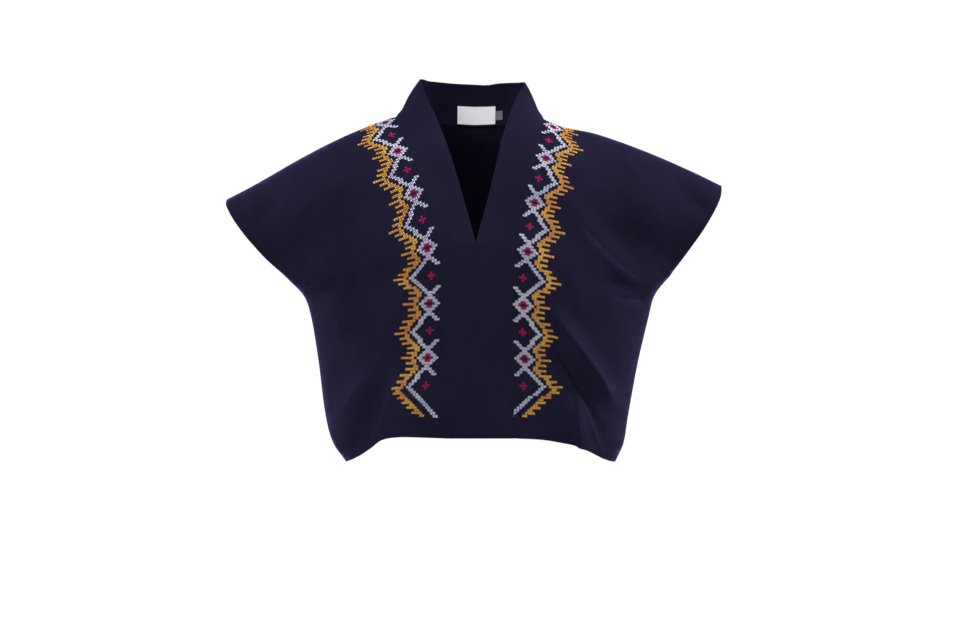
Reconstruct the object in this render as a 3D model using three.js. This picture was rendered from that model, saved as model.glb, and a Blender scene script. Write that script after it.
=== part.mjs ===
// Cropped kimono top with cut-on cap sleeves and a wide collar band, in the hollow form it takes when worn.
// Millimetres. +Z is up, -Y is the front, +X is the wearer's left.
// The origin is where the wearer holds the garment: on the shoulder line, at the middle of the neck.
import * as THREE from "three";

// ---------------------------------------------------------------- driving dimensions

const CLOTH_WALL = 2.0; // one panel of cloth
const BAND_WALL = 2.4; // the collar band, cloth over interlining
const LABEL_WALL = 1.0;
const LABEL_LIFT = 0.7; // the label stands this far off the flat faces of the curved band
const SEAM_GAP = 0.3; // between two pieces at a seam

const FRONT_COLUMNS = 18; // from the band seam to the side seam
const NECK_COLUMNS = 12; // from the centre back to the shoulder seam, along the neckline
const ROWS = 30; // from the hem to the shoulder seam
const BAND_COLUMNS = 6; // across the band

const UNDERARM = 0.52; // the share of a panel's rows that lies below the underarm
const SHOULDER_ROUND = 0.3; // the share of a panel's rows that bends over the shoulder seam
const CUFF_DEPTH = 44; // from the shoulder line to the cuff's front or back edge
const CUFF_RISE = 0.62; // share of the cuff's height over which its depth grows from the underarm
const CUFF_ROUNDNESS = 0.6; // lower is a rounder lower end of the cuff
const SLEEVE_BLEND = 0.2; // share of the rows over which the round side opens into the sleeve
const SIDE_FULLNESS = { front: 2.5, back: 2.9 }; // higher is a squarer side
const CHEST_FULLNESS = { front: 2.1, back: 2.3 }; // how far the chest's depth reaches into the sleeve

// How far the cloth stands in front of and behind the side seam, down the middle of the body.
const DEPTH = [
  { height: -480, front: 112, back: 92 },
  { height: -400, front: 114, back: 93 },
  { height: -300, front: 120, back: 96 },
  { height: -225, front: 124, back: 100 },
  { height: -165, front: 119, back: 104 },
  { height: -105, front: 100, back: 101 },
  { height: -60, front: 73, back: 87 },
  { height: -20, front: 52, back: 70 },
  { height: 20, front: 36, back: 56 },
];

// The edges of a front panel seen from the front. out is the distance from the middle of the body.
// at runs from the hem to the shoulder on band and side, and from the band to the side on hem and shoulder.
const OUTLINE = {
  right: {
    band: [
      { at: 0, out: 40, height: -432 },
      { at: 0.45, out: 40, height: -232 },
      { at: 0.54, out: 44, height: -192 },
      { at: 0.68, out: 57, height: -133 },
      { at: 0.82, out: 76, height: -75 },
      { at: 0.93, out: 95, height: -29 },
      { at: 1, out: 106, height: 1 },
    ],
    side: [
      { at: 0, out: 174, height: -463 },
      { at: 0.06, out: 191, height: -438 },
      { at: 0.15, out: 201, height: -402 },
      { at: 0.33, out: 211, height: -326 },
      { at: 0.46, out: 221, height: -267 },
      { at: 0.52, out: 230, height: -241 },
      { at: 0.6, out: 251, height: -218 },
      { at: 0.74, out: 289, height: -180 },
      { at: 0.88, out: 319, height: -143 },
      { at: 0.96, out: 333, height: -119 },
      { at: 1, out: 334, height: -110 },
    ],
    hem: [
      { at: 0, out: 40, height: -432 },
      { at: 0.28, out: 78, height: -431 },
      { at: 0.48, out: 105, height: -431 },
      { at: 0.62, out: 124, height: -434 },
      { at: 0.74, out: 140, height: -444 },
      { at: 0.88, out: 159, height: -456 },
      { at: 1, out: 174, height: -463 },
    ],
    shoulder: [
      { at: 0, out: 106, height: 1 },
      { at: 0.15, out: 139, height: -10 },
      { at: 0.34, out: 182, height: -28 },
      { at: 0.57, out: 236, height: -56 },
      { at: 0.85, out: 301, height: -93 },
      { at: 1, out: 334, height: -110 },
    ],
  },
  left: {
    band: [
      { at: 0, out: 50, height: -432 },
      { at: 0.45, out: 50, height: -232 },
      { at: 0.54, out: 53, height: -192 },
      { at: 0.68, out: 63, height: -133 },
      { at: 0.82, out: 74, height: -75 },
      { at: 0.93, out: 85, height: -29 },
      { at: 1, out: 92, height: -2 },
    ],
    side: [
      { at: 0, out: 189, height: -463 },
      { at: 0.06, out: 200, height: -438 },
      { at: 0.15, out: 206, height: -402 },
      { at: 0.33, out: 220, height: -326 },
      { at: 0.46, out: 234, height: -267 },
      { at: 0.52, out: 241, height: -241 },
      { at: 0.6, out: 257, height: -218 },
      { at: 0.74, out: 285, height: -180 },
      { at: 0.88, out: 311, height: -142 },
      { at: 0.96, out: 328, height: -110 },
      { at: 1, out: 332, height: -92 },
    ],
    hem: [
      { at: 0, out: 50, height: -432 },
      { at: 0.26, out: 86, height: -434 },
      { at: 0.46, out: 114, height: -438 },
      { at: 0.65, out: 141, height: -446 },
      { at: 0.85, out: 170, height: -458 },
      { at: 1, out: 189, height: -463 },
    ],
    shoulder: [
      { at: 0, out: 92, height: -2 },
      { at: 0.12, out: 120, height: -13 },
      { at: 0.3, out: 163, height: -22 },
      { at: 0.57, out: 228, height: -45 },
      { at: 0.84, out: 293, height: -73 },
      { at: 1, out: 332, height: -92 },
    ],
  },
};

// The back's own two edges at the middle of the body.
const BACK_HEM = [
  { at: 0, height: -424 },
  { at: 0.6, height: -427 },
  { at: 0.85, height: -438 },
  { at: 1, height: -463 },
];
const BACK_NECK = { height: -8, depth: 62 }; // the neckline at the centre back

// The free edge of the collar band. at is 0 at the hem, 1 at the shoulder seam and 2 at the centre back.
// Below the V both bands share one edge, the centre front seam. Here x is the real one, across the body.
const CENTRE_FRONT = [
  { at: 0, x: 5, depth: 112, height: -432 },
  { at: 0.25, x: 3, depth: 119, height: -300 },
  { at: 0.5, x: 1, depth: 119, height: -174 },
];
const V_TIP = 0.5;

// Above the V, out is the distance from the middle of the body, and depth is how far in front it stands.
const BAND_EDGE = {
  right: [
    { at: 0.5, out: -1, depth: 119, height: -174 },
    { at: 0.6, out: 15, depth: 97, height: -116 },
    { at: 0.7, out: 30, depth: 72, height: -64 },
    { at: 0.8, out: 41, depth: 51, height: -31.5 },
    { at: 0.9, out: 53, depth: 29, height: -1 },
    { at: 1, out: 66, depth: 7, height: 28 },
    { at: 1.14, out: 75, depth: -17, height: 51.5 },
    { at: 1.35, out: 62, depth: -35, height: 52 },
    { at: 1.7, out: 31, depth: -46, height: 49.8 },
    { at: 2, out: 0, depth: -49, height: 48.4 },
  ],
  left: [
    { at: 0.5, out: 1, depth: 119, height: -174 },
    { at: 0.6, out: 17, depth: 97, height: -116 },
    { at: 0.7, out: 30, depth: 72, height: -62 },
    { at: 0.8, out: 37, depth: 51, height: -29.5 },
    { at: 0.9, out: 47, depth: 29, height: 1 },
    { at: 1, out: 57, depth: 7, height: 28 },
    { at: 1.14, out: 68, depth: -17, height: 47 },
    { at: 1.35, out: 58, depth: -35, height: 50 },
    { at: 1.66, out: 33, depth: -46, height: 50 },
    { at: 1.84, out: 16, depth: -48.5, height: 47.8 },
    { at: 2, out: 0, depth: -49, height: 48.4 },
  ],
};
const BAND_BOW = 5; // how far the band's middle rolls outwards round the neck

// The largest folds. Each runs from (out, height) to (out2, height2) on its own panel.
// rise is the ridge's height, or a trough's depth if negative, and half is half its width.
const FOLDS = {
  front_right: [
    { out: 138, height: -345, out2: 178, height2: -415, rise: 7, half: 17 },
    { out: 112, height: -330, out2: 152, height2: -450, rise: -8, half: 17 },
    { out: 168, height: -150, out2: 150, height2: -300, rise: -5, half: 26 },
  ],
  front_left: [
    { out: 104, height: -262, out2: 190, height2: -392, rise: 9, half: 13 },
    { out: 100, height: -300, out2: 168, height2: -430, rise: -7, half: 14 },
    { out: 104, height: -335, out2: 158, height2: -470, rise: 8, half: 13 },
    { out: 132, height: -140, out2: 215, height2: -225, rise: 7, half: 16 },
    { out: 170, height: -215, out2: 236, height2: -246, rise: -7, half: 13 },
  ],
  back: [
    { out: 110, height: -280, out2: 178, height2: -430, rise: 7, half: 17 },
    { out: 60, height: -300, out2: 96, height2: -450, rise: -6, half: 20 },
    { out: -120, height: -270, out2: -176, height2: -420, rise: 7, half: 17 },
    { out: -52, height: -310, out2: -84, height2: -450, rise: -6, half: 20 },
    { out: 120, height: -120, out2: 205, height2: -228, rise: 6, half: 18 },
    { out: -120, height: -120, out2: -205, height2: -228, rise: 6, half: 18 },
  ],
};
const FOLD_EDGE_FADE = 0.14; // folds die out over this share of a panel beside a side or shoulder seam

const LABEL = { middle: 1.7, width: 52, from: 0.05, to: 0.49 }; // from and to are shares of the band's width
const SIZE_TAB = { middle: 33, width: 9.4, from: 0.15, to: 0.37 };

const INDIGO = 0x1e1c32;
const LABEL_WHITE = 0xd9d8dc;

// ---------------------------------------------------------------- reading the tables

const clamp = (x, low, high) => Math.min(high, Math.max(low, x));
const mix = (a, b, share) => a + (b - a) * share;

function smooth(from, to, x) {
  const t = clamp((x - from) / (to - from), 0, 1);
  return t * t * (3 - 2 * t);
}

// The column's value at a place along the table, on a curve through its rows.
function read(table, column, place, key = "at") {
  const last = table.length - 1;
  let i = 0;
  while (i < last - 1 && place > table[i + 1][key]) i += 1;
  const slope = (a, b) => (table[b][column] - table[a][column]) / (table[b][key] - table[a][key]);
  const tangent = (k) => slope(Math.max(k - 1, 0), Math.min(k + 1, last));
  const span = table[i + 1][key] - table[i][key];
  const t = clamp((place - table[i][key]) / span, 0, 1);
  const [t2, t3] = [t * t, t * t * t];
  return (
    (2 * t3 - 3 * t2 + 1) * table[i][column] +
    (t3 - 2 * t2 + t) * span * tangent(i) +
    (3 * t2 - 2 * t3) * table[i + 1][column] +
    (t3 - t2) * span * tangent(i + 1)
  );
}

const depthAt = (face, height) => read(DEPTH, face, height, "height");

// ---------------------------------------------------------------- the body's panels

// Rows crowd together towards the shoulder seam, so that the bend over it stays round.
function rowShare(v) {
  const left = 1 - v;
  const bent = left < SHOULDER_ROUND ? (left * left) / (2 * SHOULDER_ROUND) : left - SHOULDER_ROUND / 2;
  return 1 - bent / (1 - SHOULDER_ROUND / 2);
}

// 0 on the shoulder seam, 1 once the cloth hangs clear of the bend.
function shoulderBend(v) {
  const t = clamp((1 - v) / SHOULDER_ROUND, 0, 1);
  return t * Math.sqrt(2 - t * t);
}

// A point of the four-sided outline, as { out, height }. u and row run from 0 to 1.
function insideOutline(edges, u, row) {
  const point = {};
  for (const column of ["out", "height"]) {
    const [inner, outer] = [read(edges.inner, column, row), read(edges.side, column, row)];
    const [low, high] = [read(edges.hem, column, u), read(edges.top, column, u)];
    const corner = (table, at) => read(table, column, at);
    point[column] =
      mix(inner, outer, u) +
      mix(low, high, row) -
      mix(
        mix(corner(edges.hem, 0), corner(edges.hem, 1), u),
        mix(corner(edges.top, 0), corner(edges.top, 1), u),
        row,
      );
  }
  return point;
}

// 0 where the panel closes at the side seam, 1 where it opens into the sleeve.
const sleeveShare = (row) => smooth(UNDERARM, UNDERARM + SLEEVE_BLEND, row);

// The cuff's distance in front of, or behind, the shoulder line: an oval from the underarm to the shoulder.
function cuffDepth(row) {
  const t = clamp((row - UNDERARM) / (1 - UNDERARM), 0, 1);
  return CUFF_DEPTH * Math.pow(smooth(0, CUFF_RISE, t), CUFF_ROUNDNESS);
}

// Columns crowd together towards a side seam, so that the side stays round, and spread evenly in the sleeve.
function columnShare(u, row, innerOut, sideOut) {
  const start = Math.asin(innerOut / sideOut);
  const turned = Math.sin(mix(start, Math.PI / 2, u));
  const round = (turned - Math.sin(start)) / (1 - Math.sin(start));
  return mix(round, u, sleeveShare(row));
}

function bodyDepth(face, row, out, sideOut, height) {
  const t = clamp(out / sideOut, 0, 1);
  const open = sleeveShare(row);
  const round = Math.sqrt(Math.max(0, 1 - Math.pow(t, SIDE_FULLNESS[face])));
  const sleeve = 1 - Math.pow(t, CHEST_FULLNESS[face]);
  const cuff = cuffDepth(row);
  return cuff + (depthAt(face, height) - cuff) * mix(round, sleeve, open);
}

// The sum of a panel's folds at a point, as a distance out of the cloth.
function foldRise(folds, out, height) {
  let rise = 0;
  for (const fold of folds) {
    const along = new THREE.Vector2(fold.out2 - fold.out, fold.height2 - fold.height);
    const away = new THREE.Vector2(out - fold.out, height - fold.height);
    const length = along.length();
    const t = away.dot(along) / (length * length);
    const across = Math.abs(away.cross(along)) / length / fold.half;
    const taper = smooth(-0.15, 0.35, t) * (1 - smooth(0.8, 1.15, t));
    rise += fold.rise * taper * Math.exp(-across * across);
  }
  return rise;
}

function seamFade(u, v, row) {
  const side = mix(smooth(0, FOLD_EDGE_FADE * 2, 1 - u), 1, sleeveShare(row));
  return side * smooth(0, FOLD_EDGE_FADE, 1 - v);
}

// A point on a front panel: u from the band seam to the side, v from the hem to the shoulder seam.
function frontPoint(side, u, v) {
  const outline = OUTLINE[side];
  const edges = { inner: outline.band, side: outline.side, hem: outline.hem, top: outline.shoulder };
  const row = rowShare(v);
  const [innerOut, sideOut] = [read(edges.inner, "out", row), read(edges.side, "out", row)];
  const flat = insideOutline(edges, columnShare(u, row, innerOut, sideOut), row);
  const folds = foldRise(FOLDS[`front_${side}`], flat.out, flat.height) * seamFade(u, v, row);
  const depth = bodyDepth("front", row, flat.out, sideOut, flat.height) * shoulderBend(v) + folds;
  const across = side === "left" ? 1 : -1;
  return new THREE.Vector3(across * flat.out, -depth - SEAM_GAP / 2, flat.height);
}

// The share of the back's half width, at the top, that is neckline and not shoulder seam.
const NECK_SHARE = NECK_COLUMNS / (NECK_COLUMNS + FRONT_COLUMNS);

// The back's outline on one side: its top edge is the neckline and then the shoulder seam.
function backEdges(side) {
  const outline = OUTLINE[side];
  const neck = outline.shoulder[0];
  const hemCorner = outline.hem.at(-1);
  const neckline = [0, 0.5, 1].map((share) => ({
    at: share * NECK_SHARE,
    out: neck.out * Math.sin((share * Math.PI) / 2),
    height: mix(neck.height, BACK_NECK.height, Math.cos((share * Math.PI) / 2) ** 2),
  }));
  const seam = outline.shoulder.slice(1).map((row) => ({ ...row, at: mix(NECK_SHARE, 1, row.at) }));
  return {
    inner: [
      { at: 0, out: 0, height: BACK_HEM[0].height },
      { at: 1, out: 0, height: BACK_NECK.height },
    ],
    side: outline.side,
    hem: BACK_HEM.map((row) => ({ ...row, out: row.at * hemCorner.out })),
    top: [...neckline, ...seam],
  };
}
const BACK_EDGES = { left: backEdges("left"), right: backEdges("right") };

// A point on the back: u from -1 at the wearer's right to 1 at the left, v from the hem to the top edge.
function backPoint(u, v) {
  const side = u < 0 ? "right" : "left";
  const across = side === "left" ? 1 : -1;
  const half = Math.abs(u);
  const edges = BACK_EDGES[side];
  const row = rowShare(v);
  const sideOut = read(edges.side, "out", row);
  const top = 1 - smooth(0, SHOULDER_ROUND, 1 - v);
  const share = mix(columnShare(half, row, 0, sideOut), half, top);
  const flat = insideOutline(edges, share, row);
  const neckTurn = Math.cos((clamp(half / NECK_SHARE, 0, 1) * Math.PI) / 2);
  const folds = foldRise(FOLDS.back, across * flat.out, flat.height) * seamFade(half, v, row);
  const full = bodyDepth("back", row, flat.out, sideOut, flat.height);
  const bend = shoulderBend(v);
  const depth = mix(BACK_NECK.depth * neckTurn, full, bend) + folds;
  return new THREE.Vector3(across * flat.out, depth + SEAM_GAP / 2, flat.height);
}

// ---------------------------------------------------------------- the collar band

// The seam that joins the band to the body: up the front, then round the neckline.
function bandSeam(side, at) {
  if (at <= 1) return frontPoint(side, 0, at).setComponent(1, frontPoint(side, 0, at).y + SEAM_GAP / 2);
  const across = side === "left" ? 1 : -1;
  const point = backPoint(across * NECK_SHARE * (2 - at), 1);
  return point.setComponent(1, point.y - SEAM_GAP / 2);
}

function bandEdge(side, at) {
  const across = side === "left" ? 1 : -1;
  const table = at < V_TIP ? CENTRE_FRONT : BAND_EDGE[side];
  const x = at < V_TIP ? read(table, "x", at) : across * read(table, "out", at);
  return new THREE.Vector3(x, -read(table, "depth", at), read(table, "height", at));
}

// A point on the band: at along it, w from 0 at the seam to 1 at the free edge.
function bandPoint(side, at, w) {
  const point = bandSeam(side, at).lerp(bandEdge(side, at), w);
  const rolled = BAND_BOW * smooth(V_TIP, 0.95, at) * 4 * w * (1 - w);
  const outwards = new THREE.Vector3(point.x, point.y, 0).normalize();
  return point.addScaledVector(outwards, rolled);
}

// ---------------------------------------------------------------- from surfaces to walls

const STEP = 1e-3;
const INTO_PANEL = 0.03; // a short way into a panel from its edge, for the direction alone
const INTO_BAND = 0.1; // and into the band
const SHARPEST_MITRE = 0.5; // a mitred edge is at most twice as long as the wall is thick

// The unit normal of a surface of two numbers, from points a small step apart.
function normalOf(surface, a, b, ranges) {
  const [[aLow, aHigh], [bLow, bHigh]] = ranges;
  const along = surface(Math.min(a + STEP, aHigh), b).sub(surface(Math.max(a - STEP, aLow), b));
  const up = surface(a, Math.min(b + STEP, bHigh)).sub(surface(a, Math.max(b - STEP, bLow)));
  return along.cross(up).normalize();
}

const frontNormal = (side, u, v) => {
  const normal = normalOf((a, b) => frontPoint(side, a, b), u, v, [[0, 1], [0, 1]]);
  return side === "left" ? normal : normal.negate();
};
const backNormal = (u, v) => {
  const half = u < 0 ? [-1, 0] : [0, 1];
  return normalOf(backPoint, u, v, [half, [0, 1]]).negate();
};
const bandNormal = (side, at, w) => {
  const part = at <= 1 ? [0, 1] : [1, 2];
  const normal = normalOf((a, b) => bandPoint(side, a, b), at, w, [part, [0, 1]]);
  return side === "left" ? normal : normal.negate();
};

// The direction and length of a wall's edge where two surfaces share it, so that the walls meet in one plane.
function mitre(normal, other) {
  const middle = normal.clone().add(other).normalize();
  return middle.divideScalar(Math.max(SHARPEST_MITRE, middle.dot(normal)));
}

// At a side or shoulder seam the edge of the wall lies in the seam's own plane, y = 0.
const inSeamPlane = (normal) => new THREE.Vector3(normal.x, 0, normal.z).normalize();

// Where front, back and band meet, on the shoulder seam.
const neckCorner = (side) => inSeamPlane(mitre(frontNormal(side, 0, 1), bandNormal(side, 1, 0)));

function frontWall(side, i, j) {
  const [u, v] = [i / FRONT_COLUMNS, j / ROWS];
  let normal = frontNormal(side, u, v);
  if (i === 0) normal = mitre(normal, bandNormal(side, v, 0));
  const row = rowShare(v);
  if ((i === FRONT_COLUMNS && row <= UNDERARM) || j === ROWS) normal = inSeamPlane(normal);
  if (i === 0 && j === ROWS) normal = neckCorner(side);
  const point = frontPoint(side, u, v);
  if (i === 0) point.x += (side === "left" ? 1 : -1) * (SEAM_GAP / 2);
  return { point, normal };
}

// The back's columns: the shoulder part has the front's columns, and the neckline part has its own.
function backColumn(i) {
  const half = NECK_COLUMNS + FRONT_COLUMNS;
  return (i - half) / half;
}

function backWall(i, j) {
  const [u, v] = [backColumn(i), j / ROWS];
  const side = u < 0 ? "right" : "left";
  const across = side === "left" ? 1 : -1;
  const toCorner = Math.abs(u) - NECK_SHARE;
  const [atNeck, atCorner] = [toCorner < -STEP, Math.abs(toCorner) <= STEP].map((at) => at && j === ROWS);
  let normal = backNormal(u, v);
  const sideSeam = Math.abs(u) === 1 && rowShare(v) <= UNDERARM;
  const point = backPoint(u, v);
  if (sideSeam || j === ROWS) normal = inSeamPlane(normal);
  if (atNeck) {
    normal = mitre(backNormal(u, v), bandNormal(side, 2 - Math.abs(u) / NECK_SHARE, 0));
    point.addScaledVector(backPoint(u, 1 - INTO_PANEL).sub(point).normalize(), SEAM_GAP);
  }
  if (u === 0) normal.setX(0).normalize();
  if (atCorner) {
    normal = neckCorner(side);
    point.x += across * SEAM_GAP;
  }
  return { point, normal };
}

// The band's stations fall on the panels' own rows and columns along the seam that they share.
function bandStation(i) {
  return i <= ROWS ? i / ROWS : 1 + (i - ROWS) / NECK_COLUMNS;
}

function bandWall(side, i, j) {
  const at = bandStation(i);
  const w = j / BAND_COLUMNS;
  const across = side === "left" ? 1 : -1;
  const point = bandPoint(side, at, w);
  let normal = bandNormal(side, at, w);
  if (j === 0) {
    const seamNormal = at <= 1 ? frontNormal(side, 0, at) : backNormal(across * NECK_SHARE * (2 - at), 1);
    normal = at === 1 ? neckCorner(side) : mitre(normal, seamNormal);
    point.addScaledVector(bandPoint(side, at, INTO_BAND).sub(point).normalize(), SEAM_GAP / 2);
  }
  const atCentreFront = j === BAND_COLUMNS && at <= V_TIP;
  if (atCentreFront) point.x += (across * SEAM_GAP) / 2;
  if (at === 2) point.x = (across * SEAM_GAP) / 2;
  if (atCentreFront || at === 2) normal.setX(0).normalize();
  return { point, normal };
}

// A closed wall of the given thickness round a grid of points and normals.
function wall(columns, rows, place, thickness, flip) {
  const positions = [];
  const across = columns + 1;
  const layer = across * (rows + 1);
  for (const offset of [thickness / 2, -thickness / 2]) {
    for (let j = 0; j <= rows; j += 1) {
      for (let i = 0; i <= columns; i += 1) {
        const { point, normal } = place(i, j);
        positions.push(...point.addScaledVector(normal, offset).toArray());
      }
    }
  }
  const faces = [];
  const quad = (a, b, c, d) => faces.push(...(flip ? [a, c, b, a, d, c] : [a, b, c, a, c, d]));
  const at = (i, j, side) => side * layer + j * across + i;
  for (let j = 0; j < rows; j += 1) {
    for (let i = 0; i < columns; i += 1) {
      quad(at(i, j, 0), at(i + 1, j, 0), at(i + 1, j + 1, 0), at(i, j + 1, 0));
      quad(at(i, j, 1), at(i, j + 1, 1), at(i + 1, j + 1, 1), at(i + 1, j, 1));
    }
  }
  for (let i = 0; i < columns; i += 1) {
    quad(at(i, 0, 1), at(i + 1, 0, 1), at(i + 1, 0, 0), at(i, 0, 0));
    quad(at(i, rows, 0), at(i + 1, rows, 0), at(i + 1, rows, 1), at(i, rows, 1));
  }
  for (let j = 0; j < rows; j += 1) {
    quad(at(0, j, 0), at(0, j + 1, 0), at(0, j + 1, 1), at(0, j, 1));
    quad(at(columns, j, 1), at(columns, j + 1, 1), at(columns, j + 1, 0), at(columns, j, 0));
  }
  const geometry = new THREE.BufferGeometry();
  geometry.setAttribute("position", new THREE.Float32BufferAttribute(positions, 3));
  geometry.setIndex(faces);
  geometry.computeVertexNormals();
  return geometry;
}

// ---------------------------------------------------------------- the label and its tab

const BEHIND_NECK = 1.3; // from this place along it the band only comes nearer to the middle

// The place along the back of the band whose distance from the middle is out.
function stationAt(side, out, w) {
  let [low, high] = [BEHIND_NECK, 2];
  for (let turn = 0; turn < 30; turn += 1) {
    const middle = (low + high) / 2;
    if (Math.abs(bandPoint(side, middle, w).x) > out) low = middle;
    else high = middle;
  }
  return (low + high) / 2;
}

// A small piece that lies on the inside of the band, made from the band's points moved in.
function insideBand({ middle, width, from, to }, columns, rows) {
  const inwards = BAND_WALL / 2 + LABEL_LIFT + LABEL_WALL / 2;
  const place = (i, j) => {
    const w = mix(from, to, j / rows);
    const x = middle + width * (i / columns - 0.5);
    const side = x < 0 ? "right" : "left";
    const at = stationAt(side, Math.abs(x), w);
    const normal = bandNormal(side, Math.min(at, 2 - STEP), w);
    const point = bandPoint(side, at, w).addScaledVector(normal, -inwards);
    return { point, normal };
  };
  return wall(columns, rows, place, LABEL_WALL, true);
}

// ---------------------------------------------------------------- the garment

function piece(name, geometry, colour, roughness) {
  const material = new THREE.MeshStandardMaterial({ color: colour, roughness, metalness: 0 });
  const mesh = new THREE.Mesh(geometry, material);
  mesh.name = name;
  return mesh;
}

const garment = new THREE.Group();
const bandStations = ROWS + NECK_COLUMNS;
const backColumns = 2 * (NECK_COLUMNS + FRONT_COLUMNS);

for (const side of ["right", "left"]) {
  const flip = side === "right";
  const front = wall(FRONT_COLUMNS, ROWS, (i, j) => frontWall(side, i, j), CLOTH_WALL, flip);
  garment.add(piece(`front_${side}`, front, INDIGO, 0.85));
  const band = wall(bandStations, BAND_COLUMNS, (i, j) => bandWall(side, i, j), BAND_WALL, flip);
  garment.add(piece(`band_${side}`, band, INDIGO, 0.85));
}

garment.add(piece("back", wall(backColumns, ROWS, backWall, CLOTH_WALL, true), INDIGO, 0.85));
garment.add(piece("neck_label", insideBand(LABEL, 10, 3), LABEL_WHITE, 0.6));
garment.add(piece("size_tab", insideBand(SIZE_TAB, 2, 2), LABEL_WHITE, 0.6));

export default garment;
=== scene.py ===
import math

import bpy
import numpy as np
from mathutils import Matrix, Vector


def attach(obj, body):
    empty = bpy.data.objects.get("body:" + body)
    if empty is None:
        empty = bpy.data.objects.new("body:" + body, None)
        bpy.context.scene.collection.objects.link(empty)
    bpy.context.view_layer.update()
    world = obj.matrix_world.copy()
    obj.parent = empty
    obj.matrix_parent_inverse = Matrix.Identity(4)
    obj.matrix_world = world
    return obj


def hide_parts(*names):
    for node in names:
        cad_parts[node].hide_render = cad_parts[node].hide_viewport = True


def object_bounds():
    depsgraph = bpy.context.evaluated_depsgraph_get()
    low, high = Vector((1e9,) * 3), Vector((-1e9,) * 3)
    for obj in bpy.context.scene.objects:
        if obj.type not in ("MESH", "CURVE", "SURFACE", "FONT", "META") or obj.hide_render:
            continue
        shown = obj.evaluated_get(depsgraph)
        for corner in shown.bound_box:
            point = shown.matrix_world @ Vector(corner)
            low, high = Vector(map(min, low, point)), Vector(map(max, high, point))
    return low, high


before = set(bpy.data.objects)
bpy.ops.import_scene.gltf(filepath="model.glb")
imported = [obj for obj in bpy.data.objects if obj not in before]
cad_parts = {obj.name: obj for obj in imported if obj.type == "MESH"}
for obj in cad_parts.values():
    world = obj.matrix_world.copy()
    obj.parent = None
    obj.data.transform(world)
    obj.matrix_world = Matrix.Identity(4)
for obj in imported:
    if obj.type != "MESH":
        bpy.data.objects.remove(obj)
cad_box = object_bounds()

# ------------------------------------------------------------------ sizes of the cut and the cloth
# Metres. +Z is up, -Y is the front, +X is the wearer's left. Tables are written in millimetres.

MM = 0.001

CLOTH_HALF = 0.45 * MM  # half the thickness of a panel
BAND_HALF = 0.95 * MM  # half the thickness of the doubled, interlined band
SEAM_GAP = 0.3 * MM
HEM_DEPTH = 27 * MM
CUFF_HEM_DEPTH = 20 * MM
HEM_TURN = 0.55 * MM  # how much further in the turned-up hem stands

UNDERARM = 0.52  # share of a panel's rows below the underarm
SHOULDER_ROUND = 0.3  # share of a panel's rows that bends over the shoulder seam
CUFF_DEPTH = 44 * MM
CUFF_RISE = 0.62
CUFF_ROUNDNESS = 0.6
SLEEVE_BLEND = 0.2
SIDE_FULLNESS = {"front": 2.5, "back": 2.9}
CHEST_FULLNESS = {"front": 2.1, "back": 2.3}
NECK_SHARE = 12 / 30  # share of the back's half width, at the top, that is neckline
FOLD_EDGE_FADE = 0.14
FORWARD = (0.35, 1, 0.6)  # small folds stand out of the cloth more forwards than sideways
BAND_BOW = 5 * MM
V_TIP = 0.5  # where the V starts, along the band
BAND_ROLLED = 0.95  # where the band has its full roll

FRONT_GRID = (150, 240)  # columns from the band seam to the side, rows from hem to shoulder
BACK_GRID = (236, 170)
BAND_GRID = (420, 26)  # stations along the band, columns across it


def table(columns, *rows):
    """A table of named columns. Those not in millimetres are at and row, and turn in degrees."""
    names = columns.split()
    return {
        name: np.array([row[k] for row in rows]) * (1 if name in ("at", "row", "turn") else MM)
        for k, name in enumerate(names)
    }


DEPTH = table(
    "height front back",
    (-480, 112, 92),
    (-400, 114, 93),
    (-300, 120, 96),
    (-225, 124, 100),
    (-165, 119, 104),
    (-105, 100, 101),
    (-60, 73, 87),
    (-20, 52, 70),
    (20, 36, 56),
)

OUTLINE = {
    "right": {
        "inner": table(
            "at out height",
            (0, 40, -427),
            (0.45, 40, -232),
            (0.54, 44, -192),
            (0.68, 57, -133),
            (0.82, 76, -75),
            (0.93, 95, -29),
            (1, 106, 1),
        ),
        "side": table(
            "at out height",
            (0, 174, -463),
            (0.06, 191, -438),
            (0.15, 201, -402),
            (0.33, 211, -326),
            (0.46, 221, -267),
            (0.52, 230, -241),
            (0.6, 251, -218),
            (0.74, 289, -180),
            (0.88, 319, -143),
            (0.96, 333, -119),
            (1, 334, -110),
        ),
        "hem": table(
            "at out height",
            (0, 40, -427),
            (0.28, 78, -426),
            (0.48, 105, -426.5),
            (0.62, 124, -431),
            (0.74, 140, -443),
            (0.88, 159, -456),
            (1, 174, -463),
        ),
        "top": table(
            "at out height",
            (0, 106, 1),
            (0.15, 139, -10),
            (0.34, 182, -28),
            (0.57, 236, -56),
            (0.85, 301, -93),
            (1, 334, -110),
        ),
    },
    "left": {
        "inner": table(
            "at out height",
            (0, 50, -427),
            (0.45, 50, -232),
            (0.54, 53, -192),
            (0.68, 63, -133),
            (0.82, 74, -75),
            (0.93, 85, -29),
            (1, 92, -2),
        ),
        "side": table(
            "at out height",
            (0, 189, -463),
            (0.06, 200, -438),
            (0.15, 206, -402),
            (0.33, 220, -326),
            (0.46, 234, -267),
            (0.52, 241, -241),
            (0.6, 257, -218),
            (0.74, 285, -180),
            (0.88, 311, -142),
            (0.96, 328, -110),
            (1, 332, -92),
        ),
        "hem": table(
            "at out height",
            (0, 50, -427),
            (0.26, 86, -429),
            (0.46, 114, -434),
            (0.65, 141, -441),
            (0.85, 170, -456),
            (1, 189, -463),
        ),
        "top": table(
            "at out height",
            (0, 92, -2),
            (0.12, 120, -13),
            (0.3, 163, -22),
            (0.57, 228, -45),
            (0.84, 293, -73),
            (1, 332, -92),
        ),
    },
}
BACK_HEM = table("at height", (0, -424), (0.6, -427), (0.85, -438), (1, -463))
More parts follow.
